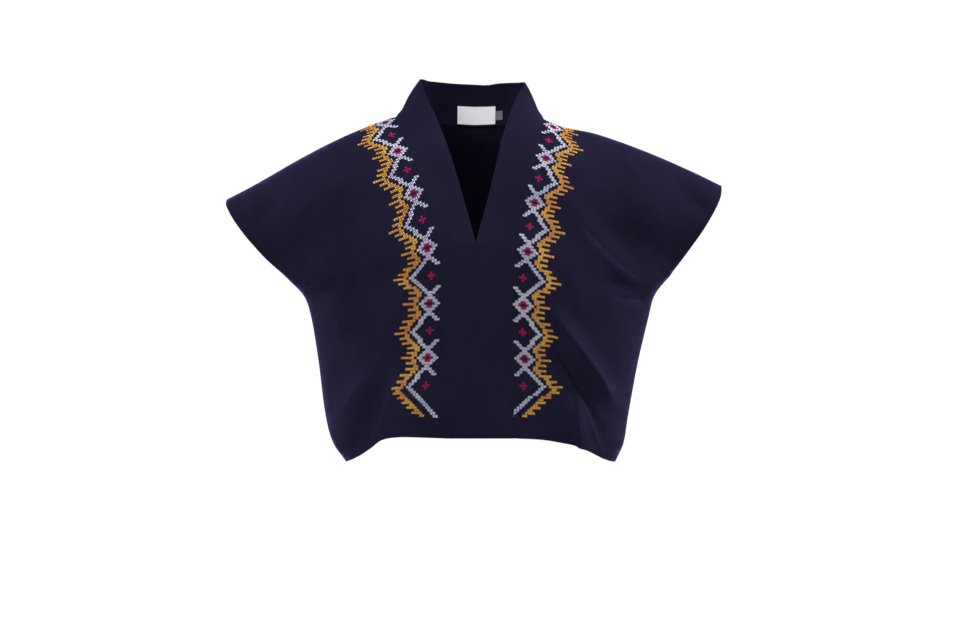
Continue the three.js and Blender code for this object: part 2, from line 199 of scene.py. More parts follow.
BACK_NECK = {"height": -8 * MM, "depth": 62 * MM}

CENTRE_FRONT = table("at x depth height", (0, 5, 112, -427), (0.25, 3, 119, -300), (0.5, 1, 119, -174))
BAND_EDGE = {
    "right": table(
        "at out depth height",
        (0.5, -1, 119, -174),
        (0.6, 15, 97, -116),
        (0.7, 30, 72, -64),
        (0.8, 41, 51, -31.5),
        (0.9, 53, 29, -1),
        (1, 66, 7, 28),
        (1.14, 75, -17, 51.5),
        (1.35, 62, -35, 52),
        (1.7, 31, -46, 49.8),
        (2, 0, -49, 48.4),
    ),
    "left": table(
        "at out depth height",
        (0.5, 1, 119, -174),
        (0.6, 17, 97, -116),
        (0.7, 30, 72, -62),
        (0.8, 37, 51, -29.5),
        (0.9, 47, 29, 1),
        (1, 57, 7, 28),
        (1.14, 68, -17, 47),
        (1.35, 58, -35, 50),
        (1.66, 33, -46, 50),
        (1.84, 16, -48.5, 47.8),
        (2, 0, -49, 48.4),
    ),
}

# Each fold runs from (out, height) to (out2, height2). bow bends it sideways at its middle.
# rise is the ridge's height, or a trough's depth if negative, and half is half its width.
FOLD_COLUMNS = "out height out2 height2 bow rise half"
LARGE_FOLDS = {
    "front_right": table(
        FOLD_COLUMNS,
        (138, -345, 178, -415, 0, 7, 17),
        (112, -330, 152, -450, 0, -8, 17),
        (168, -150, 150, -300, 0, -5, 26),
    ),
    "front_left": table(
        FOLD_COLUMNS,
        (104, -262, 190, -392, 0, 9, 13),
        (100, -300, 168, -430, 0, -7, 14),
        (104, -335, 158, -470, 0, 8, 13),
        (132, -140, 215, -225, 0, 7, 16),
        (170, -215, 236, -246, 0, -7, 13),
    ),
    "back": table(
        FOLD_COLUMNS,
        (110, -280, 178, -430, 0, 7, 17),
        (60, -300, 96, -450, 0, -6, 20),
        (-120, -270, -176, -420, 0, 7, 17),
        (-52, -310, -84, -450, 0, -6, 20),
        (120, -120, 205, -228, 0, 6, 18),
        (-120, -120, -205, -228, 0, 6, 18),
    ),
}
# The small folds are creases with a sharper crest, and half and far are their widths on either side of it.
CREASE_COLUMNS = "out height out2 height2 bow rise half far"
SMALL_FOLDS = {
    "front_right": table(
        CREASE_COLUMNS,
        (148, -348, 176, -398, 0, 3.4, 12, 8),
        (104, -350, 136, -430, 2, 5.0, 4, 13),
        (150, -400, 158, -462, -4, -3.0, 7, 7),
        (176, -452, 196, -418, 2, 2.4, 4, 4),
        (198, -402, 204, -440, 0, -1.6, 4, 4),
        (196, -250, 176, -290, 3, 3.0, 12, 10),
        (228, -246, 176, -216, -6, -2.4, 9, 9),
        (232, -236, 190, -186, 5, 2.0, 8, 10),
        (150, -60, 236, -130, 8, 2.0, 15, 15),
        (250, -90, 300, -150, 6, -1.8, 12, 12),
        (96, -120, 150, -190, -10, 1.8, 16, 16),
        (200, -300, 196, -380, 4, 1.8, 9, 9),
        (70, -250, 84, -400, 5, 1.4, 14, 14),
        (280, -165, 310, -120, -4, 1.8, 9, 9),
    ),
    "front_left": table(
        CREASE_COLUMNS,
        (100, -262, 178, -372, -2, 5.6, 11, 3),
        (106, -272, 175, -368, -2, 4.2, 5, 2),
        (108, -296, 166, -404, 0, 4.0, 10, 10),
        (105, -320, 167, -448, -3, 4.4, 3.5, 6),
        (133, -372, 141, -458, 3, 8.0, 15, 3),
        (112, -195, 140, -262, -6, 2.6, 14, 12),
        (140, -144, 216, -216, 4, -5.6, 14, 6),
        (186, -243, 228, -246, 0, -5.0, 5, 5),
        (206, -258, 236, -254, 2, 2.2, 5, 5),
        (200, -52, 222, -92, 3, 2.2, 11, 11),
        (120, -72, 186, -56, 6, 2.2, 13, 13),
        (112, -96, 150, -150, 5, 1.6, 12, 12),
        (268, -86, 314, -128, 5, -2.8, 13, 13),
        (248, -192, 268, -222, 2, 2.4, 8, 8),
        (236, -262, 205, -330, -8, 2.0, 9, 9),
        (218, -318, 196, -312, 0, -2.2, 4, 4),
        (84, -180, 100, -250, 4, 1.4, 14, 14),
    ),
    "back": table(
        CREASE_COLUMNS,
        (124, -290, 176, -424, 6, 4.2, 9, 4),
        (-126, -286, -172, -418, 6, 4.2, 9, 4),
        (150, -350, 190, -452, -4, -2.8, 7, 7),
        (-152, -350, -190, -452, -4, -2.8, 7, 7),
        (198, -240, 234, -248, 0, -3.4, 6, 6),
        (-198, -240, -230, -246, 0, -3.4, 6, 6),
        (150, -150, 210, -226, 4, 3.6, 5, 11),
        (-150, -150, -208, -226, 4, 3.6, 5, 11),
        (20, -250, 34, -425, 6, 2.4, 12, 9),
        (-30, -270, -18, -425, 6, 2.0, 12, 9),
        (90, -60, 180, -110, 8, 2.0, 15, 15),
        (-90, -60, -180, -110, 8, 2.0, 15, 15),
        (260, -90, 300, -140, 5, -1.8, 12, 12),
        (-260, -90, -300, -140, 5, -1.8, 12, 12),
        (-20, -60, 30, -90, 4, 1.6, 12, 12),
    ),
}

LABEL = {"middle": 1.7 * MM, "width": 52 * MM, "from": 0.05, "to": 0.49}
SIZE_TAB = {"middle": 33 * MM, "width": 9.4 * MM, "from": 0.15, "to": 0.37}
LABEL_HALF = 0.25 * MM
LABEL_OFF = 1.75 * MM  # from the band's middle surface to the label's, in the CAD label's own place

# ------------------------------------------------------------------ reading the tables


def smooth(low, high, x):
    t = np.clip((x - low) / (high - low), 0, 1)
    return t * t * (3 - 2 * t)


def mix(a, b, share):
    return a + (b - a) * share


def read(rows, column, place, key="at"):
    """The column's value at a place along the table, on a curve through its rows."""
    x, y = rows[key], rows[column]
    last = len(x) - 1
    before = np.maximum(np.arange(last + 1) - 1, 0)
    after = np.minimum(np.arange(last + 1) + 1, last)
    tangent = (y[after] - y[before]) / (x[after] - x[before])
    i = np.clip(np.searchsorted(x, place) - 1, 0, last - 1)
    span = x[i + 1] - x[i]
    t = np.clip((place - x[i]) / span, 0, 1)
    return (
        (2 * t**3 - 3 * t**2 + 1) * y[i]
        + (t**3 - 2 * t**2 + t) * span * tangent[i]
        + (3 * t**2 - 2 * t**3) * y[i + 1]
        + (t**3 - t**2) * span * tangent[i + 1]
    )


def unit(vectors):
    return vectors / np.maximum(np.linalg.norm(vectors, axis=-1, keepdims=True), 1e-12)


def points(x, y, z):
    return np.stack(np.broadcast_arrays(x, y, z), axis=-1)


# ------------------------------------------------------------------ the body's panels


def row_share(v):
    left = 1 - v
    bent = np.where(left < SHOULDER_ROUND, left**2 / (2 * SHOULDER_ROUND), left - SHOULDER_ROUND / 2)
    return 1 - bent / (1 - SHOULDER_ROUND / 2)


def shoulder_bend(v):
    """0 on the shoulder seam, 1 once the cloth hangs clear of the bend."""
    t = np.clip((1 - v) / SHOULDER_ROUND, 0, 1)
    return t * np.sqrt(2 - t * t)


def inside_outline(edges, u, row):
    """out and height inside a four-sided outline. u and row run from 0 to 1."""
    made = []
    for column in ("out", "height"):
        corner = {(a, b): edges[a][column][b] for a in ("hem", "top") for b in (0, -1)}
        across = mix(read(edges["inner"], column, row), read(edges["side"], column, row), u)
        along = mix(read(edges["hem"], column, u), read(edges["top"], column, u), row)
        low = mix(corner["hem", 0], corner["hem", -1], u)
        high = mix(corner["top", 0], corner["top", -1], u)
        made.append(across + along - mix(low, high, row))
    return made


def sleeve_share(row):
    return smooth(UNDERARM, UNDERARM + SLEEVE_BLEND, row)


def cuff_depth(row):
    t = np.clip((row - UNDERARM) / (1 - UNDERARM), 0, 1)
    return CUFF_DEPTH * smooth(0, CUFF_RISE, t) ** CUFF_ROUNDNESS


def column_share(u, row, inner_out, side_out):
    start = np.arcsin(inner_out / side_out)
    turned = np.sin(mix(start, math.pi / 2, u))
    rounded = (turned - np.sin(start)) / (1 - np.sin(start))
    return mix(rounded, u, sleeve_share(row))


def body_depth(face, row, out, side_out, height):
    t = np.clip(out / side_out, 0, 1)
    side = np.sqrt(np.maximum(0, 1 - t ** SIDE_FULLNESS[face]))
    sleeve = 1 - t ** CHEST_FULLNESS[face]
    cuff = cuff_depth(row)
    middle = read(DEPTH, face, height, "height")
    return cuff + (middle - cuff) * mix(side, sleeve, sleeve_share(row))


CREST_ROUND = 0.22  # how rounded a crease's crest is, as a share of its width
CREST_FALL = 1.3  # how fast it falls away from there
FOLD_START = (-0.15, 0.35)  # the stretch of its length over which a fold rises
FOLD_END = (0.8, 1.15)  # and over which it dies away


def rounded(across, fold):
    return np.exp(-((across / fold["half"]) ** 2))


def creased(across, fold):
    """A sharper crest, steeper on its narrower side."""
    away = across / np.where(across < 0, fold["half"], fold["far"])
    return np.exp(CREST_FALL * (CREST_ROUND - np.sqrt(away * away + CREST_ROUND**2)))


def fold_rise(folds, out, height, profile=rounded):
    """The sum of a table's folds at each place, as a distance out of the cloth."""
    rise = np.zeros(np.broadcast(out, height).shape)
    for k in range(len(folds["out"])):
        fold = {name: column[k] for name, column in folds.items()}
        along = np.array([fold["out2"] - fold["out"], fold["height2"] - fold["height"]])
        length = np.hypot(*along)
        away_out, away_height = out - fold["out"], height - fold["height"]
        t = (away_out * along[0] + away_height * along[1]) / length**2
        across = (away_out * along[1] - away_height * along[0]) / length
        across = across - fold["bow"] * 4 * t * (1 - t)
        taper = smooth(*FOLD_START, t) * (1 - smooth(*FOLD_END, t))
        rise += fold["rise"] * taper * profile(across, fold)
    return rise


def seam_fade(u, v, row):
    side = mix(smooth(0, FOLD_EDGE_FADE * 2, 1 - u), 1, sleeve_share(row))
    return side * smooth(0, FOLD_EDGE_FADE, 1 - v)


ACROSS = {"right": -1, "left": 1}


def front_place(side, u, v):
    """The front's own flat place (out, height) at u, v."""
    edges = OUTLINE[side]
    row = row_share(v)
    shares = column_share(u, row, read(edges["inner"], "out", row), read(edges["side"], "out", row))
    return inside_outline(edges, shares, row)


def front_point(side, u, v):
    """u from the band seam to the side, v from the hem to the shoulder seam."""
    row = row_share(v)
    out, height = front_place(side, u, v)
    side_out = read(OUTLINE[side]["side"], "out", row)
    folds = fold_rise(LARGE_FOLDS["front_" + side], out, height) * seam_fade(u, v, row)
    depth = body_depth("front", row, out, side_out, height) * shoulder_bend(v) + folds
    return points(ACROSS[side] * out, -depth - SEAM_GAP / 2, height)


def back_edges(side):
    outline = OUTLINE[side]
    neck_out, neck_height = outline["top"]["out"][0], outline["top"]["height"][0]
    quarter = np.array([0, 0.5, 1]) * math.pi / 2
    seam = {name: column[1:] for name, column in outline["top"].items()}
    neck_heights = mix(neck_height, BACK_NECK["height"], np.cos(quarter) ** 2)
    return {
        "inner": {
            "at": np.array([0.0, 1.0]),
            "out": np.zeros(2),
            "height": np.array([BACK_HEM["height"][0], BACK_NECK["height"]]),
        },
        "side": outline["side"],
        "hem": {**BACK_HEM, "out": BACK_HEM["at"] * outline["hem"]["out"][-1]},
        "top": {
            "at": np.append([0, NECK_SHARE / 2, NECK_SHARE], mix(NECK_SHARE, 1, seam["at"])),
            "out": np.append(neck_out * np.sin(quarter), seam["out"]),
            "height": np.append(neck_heights, seam["height"]),
        },
    }


BACK_EDGES = {side: back_edges(side) for side in ACROSS}


def back_half(side, half, v):
    """The flat place and the point on one half of the back, half from 0 at the middle to 1."""
    edges = BACK_EDGES[side]
    row = row_share(v)
    side_out = read(edges["side"], "out", row)
    top = 1 - smooth(0, SHOULDER_ROUND, 1 - v)
    share = mix(column_share(half, row, 0, side_out), half, top)
    out, height = inside_outline(edges, share, row)
    neck_turn = np.cos(np.clip(half / NECK_SHARE, 0, 1) * math.pi / 2)
    folds = fold_rise(LARGE_FOLDS["back"], ACROSS[side] * out, height) * seam_fade(half, v, row)
    full = body_depth("back", row, out, side_out, height)
    depth = mix(BACK_NECK["depth"] * neck_turn, full, shoulder_bend(v)) + folds
    return ACROSS[side] * out, height, points(ACROSS[side] * out, depth + SEAM_GAP / 2, height)


def back_place(u, v):
    u, v = np.broadcast_arrays(np.asarray(u, float), np.asarray(v, float))
    right, left = back_half("right", np.abs(u), v), back_half("left", np.abs(u), v)
    return [np.where(u < 0, a, b) for a, b in zip(right[:2], left[:2])]


def back_point(u, v):
    """u from -1 at the wearer's right to 1 at the left, v from the hem to the top edge."""
    u, v = np.broadcast_arrays(np.asarray(u, float), np.asarray(v, float))
    right, left = back_half("right", np.abs(u), v)[2], back_half("left", np.abs(u), v)[2]
    return np.where(u[..., None] < 0, right, left)


# ------------------------------------------------------------------ the collar band


def band_seam(side, at):
    front = front_point(side, 0.0, np.minimum(at, 1.0)) + [0, SEAM_GAP / 2, 0]
    back = back_point(ACROSS[side] * NECK_SHARE * (2 - np.maximum(at, 1.0)), 1.0) - [0, SEAM_GAP / 2, 0]
    return np.where(np.asarray(at)[..., None] <= 1, front, back)


def band_edge(side, at):
    rows = BAND_EDGE[side]
    below = points(
        read(CENTRE_FRONT, "x", at), -read(CENTRE_FRONT, "depth", at), read(CENTRE_FRONT, "height", at)
    )
    above = points(
        ACROSS[side] * read(rows, "out", at), -read(rows, "depth", at), read(rows, "height", at)
    )
    return np.where(np.asarray(at)[..., None] < V_TIP, below, above)


def band_point(side, at, w):
    """at along the band, w from 0 at the seam to 1 at the free edge."""
    at, w = np.broadcast_arrays(np.asarray(at, float), np.asarray(w, float))
    point = mix(band_seam(side, at), band_edge(side, at), w[..., None])
    rolled = BAND_BOW * smooth(V_TIP, BAND_ROLLED, at) * 4 * w * (1 - w)
    outwards = unit(point * [1, 1, 0])
    return point + outwards * rolled[..., None]


# ------------------------------------------------------------------ normals

STEP = 1e-3
NUDGE = 1e-9  # keeps a place on its own side of a seam


def normal_of(surface, a, b, a_range, b_range):
    a, b = np.broadcast_arrays(np.asarray(a, float), np.asarray(b, float))
    along = surface(np.minimum(a + STEP, a_range[1]), b) - surface(np.maximum(a - STEP, a_range[0]), b)
    up = surface(a, np.minimum(b + STEP, b_range[1])) - surface(a, np.maximum(b - STEP, b_range[0]))
    return unit(np.cross(along, up))


def front_normal(side, u, v):
    return ACROSS[side] * normal_of(lambda a, b: front_point(side, a, b), u, v, (0, 1), (0, 1))


def back_normal(u, v):
    u, v = np.broadcast_arrays(np.asarray(u, float), np.asarray(v, float))
    right = normal_of(back_point, np.minimum(u, 0), v, (-1, -NUDGE), (0, 1))
    left = normal_of(back_point, np.maximum(u, 0), v, (0, 1), (0, 1))
    return -np.where(u[..., None] < 0, right, left)


def band_normal(side, at, w):
    at, w = np.broadcast_arrays(np.asarray(at, float), np.asarray(w, float))
    surface = lambda a, b: band_point(side, a, b)
    front = normal_of(surface, np.minimum(at, 1), w, (0, 1), (0, 1))
    back = normal_of(surface, np.maximum(at, 1 + NUDGE), w, (1 + NUDGE, 2), (0, 1))
    return ACROSS[side] * np.where(at[..., None] <= 1, front, back)


def mitre(normal, other):
    """Where two surfaces meet, the direction and length that bring both walls to one plane."""
    middle = unit(normal + other)
    return middle / np.maximum(0.5, np.sum(middle * normal, axis=-1, keepdims=True))


def in_seam_plane(normal):
    return unit(normal * [1, 0, 1])


# ------------------------------------------------------------------ cloth that isn't quite smooth


class Ripple:
    """Soft, uneven undulation: waves of several lengths and directions added up."""

    def __init__(self, seed, lengths, tallest):
        chance = np.random.default_rng(seed)
        self.length = np.array(lengths) * MM
        self.angle = chance.uniform(0, math.pi, len(lengths))
        self.phase = chance.uniform(0, 2 * math.pi, len(lengths))
        self.height = tallest * (self.length / self.length.max()) ** 1.2

    def at(self, x, y):
        total = 0
        for length, angle, phase, height in zip(self.length, self.angle, self.phase, self.height):
            run = x * math.cos(angle) + y * math.sin(angle)
            total = total + height * np.sin(2 * math.pi * run / length + phase)
        return total


RIPPLE_LENGTHS = (150, 118, 96, 83, 61, 52, 37, 29)
RIPPLE_HEIGHT = 0.9 * MM
BAND_RIPPLE_HEIGHT = 0.6 * MM
BAND_END = 0.06  # the band lies flat this near its two ends
PUCKER_LENGTHS = (23, 17, 13, 11)
PUCKER_HEIGHT = 0.35 * MM
PUCKER_REACH = 14 * MM  # how far from a seam the cloth puckers
SEAM_FLAT = 3 * MM  # the cloth right beside a seam is held flat


def fine_relief(name, seed, out, height, from_seams, fade):
    """Small folds, undulation, and puckers beside the seams and hems."""
    ripple = Ripple(seed, RIPPLE_LENGTHS, RIPPLE_HEIGHT).at(out, height)
    pucker = Ripple(seed + 1, PUCKER_LENGTHS, PUCKER_HEIGHT).at(out, height)
    near = np.exp(-((from_seams / PUCKER_REACH) ** 2)) * smooth(0, SEAM_FLAT, from_seams)
    return (fold_rise(SMALL_FOLDS[name], out, height, creased) + ripple) * fade + pucker * near


# ------------------------------------------------------------------ making meshes


def mesh_object(name, verts, faces, material, uv=None):
    mesh = bpy.data.meshes.new(name)
    mesh.from_pydata(verts.tolist(), [], faces)
    mesh.polygons.foreach_set("use_smooth", np.ones(len(mesh.polygons), bool))
    if uv is not None:
        corner = np.empty(len(mesh.loops), int)
        mesh.loops.foreach_get("vertex_index", corner)
        mesh.uv_layers.new(name="cloth").data.foreach_set("uv", uv[corner].astype(np.float32).ravel())
    mesh.materials.append(material)
    mesh.update()
    piece = bpy.data.objects.new(name, mesh)
    bpy.context.collection.objects.link(piece)
    return piece


def distances(grid, axis):
    """How far each point of a grid is from its first row or column, along the surface."""
    steps = np.linalg.norm(np.diff(grid, axis=axis), axis=-1)
    return np.concatenate([np.zeros_like(np.take(steps, [0], axis)), np.cumsum(steps, axis)], axis)


ROUND_EDGE = np.radians([45, 90, 135])


def shell(name, middle, normal, outer, inner, material):
    """A thin closed cloth round a grid of points, with rounded edges. outer and inner are half walls."""
    rows, columns = middle.shape[:2]
    inner = np.broadcast_to(inner, (rows, columns))
    grid = np.arange(rows * columns).reshape(rows, columns)
    border = np.concatenate([grid[0, :-1], grid[:-1, -1], grid[-1, :0:-1], grid[:0:-1, 0]])
    beyond = np.zeros_like(middle)
    beyond[0] += middle[0] - middle[1]
    beyond[-1] += middle[-1] - middle[-2]
    beyond[:, 0] += middle[:, 0] - middle[:, 1]
    beyond[:, -1] += middle[:, -1] - middle[:, -2]
    flat = [a.reshape(-1, a.shape[-1]) for a in (middle, normal, beyond, inner[..., None])]
    centre, up, away, depth = flat
    verts = [centre + up * outer, centre - up * depth]
    edge = centre[border] + up[border] * (outer - depth[border]) / 2
    half = (outer + depth[border]) / 2
    outward = unit(away[border] - up[border] * np.sum(away[border] * up[border], axis=-1, keepdims=True))
    for angle in ROUND_EDGE:
        verts.append(edge + half * (up[border] * math.cos(angle) + outward * math.sin(angle)))
    size = rows * columns
    loops = [border] + [2 * size + k * len(border) + np.arange(len(border)) for k in range(3)]
    loops.append(border + size)
    a, b, c, d = grid[:-1, :-1], grid[:-1, 1:], grid[1:, 1:], grid[1:, :-1]
    faces = [np.stack([a, b, c, d], -1).reshape(-1, 4), size + np.stack([a, d, c, b], -1).reshape(-1, 4)]
    for near, far in zip(loops, loops[1:]):
        faces.append(np.stack([near, far, np.roll(far, -1), np.roll(near, -1)], -1))
    faces = np.concatenate(faces)
    # The grid's own turn decides which way round the faces go.
    turn = np.cross(middle[1, 1] - middle[1, 0], middle[2, 1] - middle[1, 1])
    if np.dot(turn, normal[1, 1]) < 0:
        faces = faces[:, ::-1]
    uv = np.stack([distances(middle, 1), distances(middle, 0)], -1).reshape(-1, 2)
    uv = np.concatenate([uv, uv] + [uv[border]] * 3)
    return mesh_object(name, np.concatenate(verts), faces.tolist(), material, uv)


THREAD_ENDS = (0.16, 0.84)  # the part of half a sine wave that rounds a thread's ends


def tubes(name, lines, up, half_width, half_height, material, sides=4):
    """Many short threads joined in one mesh. lines is (threads, rings, 3), up the cloth's normal there."""
    threads, rings = lines.shape[:2]
    along = unit(np.gradient(lines, axis=1))
    across = unit(np.cross(along, up))
    above = np.cross(across, along)
    swell = np.sin(np.linspace(*THREAD_ENDS, rings) * math.pi) ** 0.5
    turn = np.arange(sides) * 2 * math.pi / sides + math.pi / sides
    ring = lambda vectors, part, half: (vectors * swell[:, None])[:, :, None, :] * part[:, None] * half
    wide, high = ring(across, np.cos(turn), half_width), ring(above, np.sin(turn), half_height)
    verts = lines[:, :, None, :] + wide + high
    one = np.arange(rings * sides).reshape(rings, sides)
    beside = np.roll(one, -1, 1)
    quads = np.stack([one[:-1], beside[:-1], beside[1:], one[1:]], -1).reshape(-1, 4)
    start = np.arange(threads)[:, None, None] * rings * sides
    faces = (quads + start).reshape(-1, 4).tolist()
    caps = np.stack([one[0][::-1], one[-1]]) + start
    return mesh_object(name, verts.reshape(-1, 3), faces + caps.reshape(-1, sides).tolist(), material)


# ------------------------------------------------------------------ materials


def linear(hex_colour):
    """An sRGB hex colour as linear red, green, blue and alpha."""
    parts = [int(hex_colour[k : k + 2], 16) / 255 for k in (1, 3, 5)]
    return (*[p / 12.92 if p <= 0.04045 else ((p + 0.055) / 1.055) ** 2.4 for p in parts], 1.0)


def add(tree, kind, inputs=(), **settings):
    """Adds a node. inputs pairs a socket with a value, or with the socket that feeds it."""
    made = tree.nodes.new(kind)
    for name, value in settings.items():
        setattr(made, name, value)
    for socket, value in dict(inputs).items():
        if isinstance(value, bpy.types.NodeSocket):
            tree.links.new(value, made.inputs[socket])
        else:
            made.inputs[socket].default_value = value
    return made


def new_material(name):
    material = bpy.data.materials.new(name)
    material.use_nodes = True
    tree = material.node_tree
    tree.nodes.clear()
    return material, tree, add(tree, "ShaderNodeOutputMaterial")


WAVE_TURNS = 2 * math.pi / 20  # a wave texture of scale 1 repeats every 2 pi / 20
YARN_STRETCH = 0.03  # a thick stretch of yarn is as long as the yarn is wide over this
CLOUD_SCALE = 9.0  # slow changes of tone, about 100 mm across
SHEEN_ROUGHNESS = 0.18
ROUGHNESS_SPREAD = 0.06


def woven(name, dark, light, thread, slub, sheen, sheen_tint, roughness, bump, glare=0.0):
    """Plain-woven cloth. thread is the spacing of the yarns, and slub how much thicker yarns show."""
    across, along = 1 / thread, YARN_STRETCH / thread
    material, tree, output = new_material(name)
    uv = add(tree, "ShaderNodeTexCoord").outputs["UV"]
    warp, weft = [
        add(
            tree,
            "ShaderNodeTexWave",
            {
                "Vector": uv,
                "Scale": WAVE_TURNS / thread,
                "Distortion": 0.6,
                "Detail": 1.0,
                "Detail Scale": 2.0,
            },
            bands_direction=direction,
        ).outputs["Fac"]
        for direction in ("X", "Y")
    ]
    weave = add(tree, "ShaderNodeMath", {0: warp, 1: weft}, operation="MULTIPLY").outputs[0]
    slubs = []
    for scale in ((across, along, 1), (along, across, 1)):
        run = add(tree, "ShaderNodeMapping", {"Vector": uv, "Scale": scale}).outputs["Vector"]
        noise = add(tree, "ShaderNodeTexNoise", {"Vector": run, "Scale": 0.5, "Detail": 2.0})
        slubs.append(noise.outputs["Fac"])
    yarns = add(tree, "ShaderNodeMath", {0: slubs[0], 1: slubs[1]}, operation="ADD").outputs[0]
    place = add(tree, "ShaderNodeTexCoord").outputs["Object"]
    cloud = add(tree, "ShaderNodeTexNoise", {"Vector": place, "Scale": CLOUD_SCALE, "Detail": 3.0})
    tone = add(tree, "ShaderNodeMath", {0: yarns, 1: slub, 2: 0.0}, operation="MULTIPLY_ADD")
    tree.links.new(cloud.outputs["Fac"], tone.inputs[2])
    spread = add(
        tree, "ShaderNodeMapRange", {"Value": tone.outputs[0], "From Min": 0.4, "From Max": 0.6 + 2 * slub}
    )
    colour = add(
        tree,
        "ShaderNodeMix",
        {"Factor": spread.outputs["Result"], "A": linear(dark), "B": linear(light)},
        data_type="RGBA",
    )
    rough = add(
        tree,
        "ShaderNodeMapRange",
        {
            "Value": yarns,
            "From Min": 0.6,
            "From Max": 1.4,
            "To Min": roughness - ROUGHNESS_SPREAD,
            "To Max": roughness + ROUGHNESS_SPREAD,
        },
    )
    relief = add(tree, "ShaderNodeMath", {0: yarns, 1: 0.5, 2: weave}, operation="MULTIPLY_ADD")
    normal = add(
        tree, "ShaderNodeBump", {"Height": relief.outputs[0], "Strength": 1.0, "Distance": bump}
    )
    shader = add(
        tree,
        "ShaderNodeBsdfPrincipled",
        {
            "Base Color": colour.outputs["Result"],
            "Roughness": rough.outputs["Result"],
            "Normal": normal.outputs["Normal"],
            "Sheen Weight": sheen,
            "Sheen Roughness": SHEEN_ROUGHNESS,
            "Sheen Tint": linear(sheen_tint),
            "Specular IOR Level": glare,
        },
    )
    tree.links.new(shader.outputs[0], output.inputs[0])
    return material


STITCH_TONE_SCALE = 45.0  # patches of tone a few stitches across
FIBRE_SCALE = 2600.0  # fibres about 0.4 mm apart, drawn coarser than they are so that they show


def cotton_thread(name, dark, light, sheen=0.1, glare=0.3):
    """Stranded embroidery cotton: soft, slightly glossy, each stitch a little lighter or darker."""
    material, tree, output = new_material(name)
    place = add(tree, "ShaderNodeTexCoord").outputs["Object"]
    patch, fibre = [
        add(tree, "ShaderNodeTexNoise", {"Vector": place, "Scale": scale, "Detail": detail}).outputs["Fac"]
        for scale, detail in ((STITCH_TONE_SCALE, 6.0), (FIBRE_SCALE, 2.0))
    ]
    tone = add(tree, "ShaderNodeMath", {0: patch, 1: fibre}, operation="ADD").outputs[0]
    spread = add(tree, "ShaderNodeMapRange", {"Value": tone, "From Min": 0.75, "From Max": 1.25})
    colour = add(
        tree,
        "ShaderNodeMix",
        {"Factor": spread.outputs["Result"], "A": linear(dark), "B": linear(light)},
        data_type="RGBA",
    )
    bump = add(tree, "ShaderNodeBump", {"Height": fibre, "Strength": 0.8, "Distance": 0.1 * MM})
    shader = add(
        tree,
        "ShaderNodeBsdfPrincipled",
        {
            "Base Color": colour.outputs["Result"],
            "Roughness": 0.55,
            "Normal": bump.outputs["Normal"],
            "Sheen Weight": sheen,
            "Sheen Roughness": 0.4,
            "Specular IOR Level": glare,
        },
    )
    tree.links.new(shader.outputs[0], output.inputs[0])
    return material


# Soft indigo cotton: matt on the flat, a little bluer where it turns away at an edge. Its yarns, and the
# label's, are drawn further apart than they are, so that they show.
cloth = woven("indigo_cotton", "#10101c", "#1b192c", 0.9 * MM, 0.35, 0.42, "#8c86dc", 0.7, 0.10 * MM)
# The same cloth pressed flat over interlining, so a little smoother.
band_cloth = woven(
    "indigo_cotton_pressed", "#11101d", "#1b192c", 0.9 * MM, 0.3, 0.2, "#766af2", 0.66, 0.07 * MM
)
# Damask label tape: fine bright satin weave, left plain.
SATIN = (0.45 * MM, 0.2, 0.1, "#ffffff", 0.45, 0.05 * MM, 0.3)
label_tape = woven("label_satin", "#d6d4d8", "#ececef", *SATIN)
size_tape = woven("size_tab_satin", "#57535e", "#6b6773", *SATIN)
pale_thread = cotton_thread("thread_lavender_white", "#b6bae6", "#f4f5ff")
gold_thread = cotton_thread("thread_golden_orange", "#d47a1a", "#ffcd50")
red_thread = cotton_thread("thread_crimson", "#8c0c40", "#cc1055", 0.0, 0.1)
dark_red_thread = cotton_thread("thread_dark_crimson", "#2c0616", "#4c0a26", 0.0, 0.1)
seam_thread = cotton_thread("thread_navy", "#0f0e1c", "#171528", 0.0, 0.0)

# ------------------------------------------------------------------ the panels


def grid_of(columns, rows, low=0.0):
    return np.meshgrid(np.linspace(low, 1, columns + 1), np.linspace(0, 1, rows + 1))


def hem_wall(from_hem, from_cuff):
    """The inner half wall: thicker where a hem is turned up inside."""
    turned = np.maximum(
        1 - smooth(HEM_DEPTH - 1 * MM, HEM_DEPTH + 0.5 * MM, from_hem),
        1 - smooth(CUFF_HEM_DEPTH - 1 * MM, CUFF_HEM_DEPTH + 0.5 * MM, from_cuff),
    )
    return CLOTH_HALF + HEM_TURN * turned


def cuff_distance(run_u, row):
    """Distance from the cuff edge, or far away below the underarm, where the edge is a seam."""
    from_edge = run_u[:, -1:] - run_u
    return np.where(row < UNDERARM, 1.0, from_edge)


def front_surface(side, u, v):
    """The cloth's middle surface with all its relief, and the base normal."""
    middle, normal = front_point(side, u, v), front_normal(side, u, v)
    out, height = front_place(side, u, v)
    row = row_share(v)
    from_seam = out - read(OUTLINE[side]["inner"], "out", row)
    to_side = np.where(row < UNDERARM, read(OUTLINE[side]["side"], "out", row) - out, 1.0)
    fade = seam_fade(u, v, row) * smooth(0, 12 * MM, from_seam)
    seed = {"right": 11, "left": 23}[side]
    relief = fine_relief("front_" + side, seed, out, height, np.minimum(from_seam, to_side), fade)
    return middle + unit(normal * FORWARD) * relief[..., None], normal


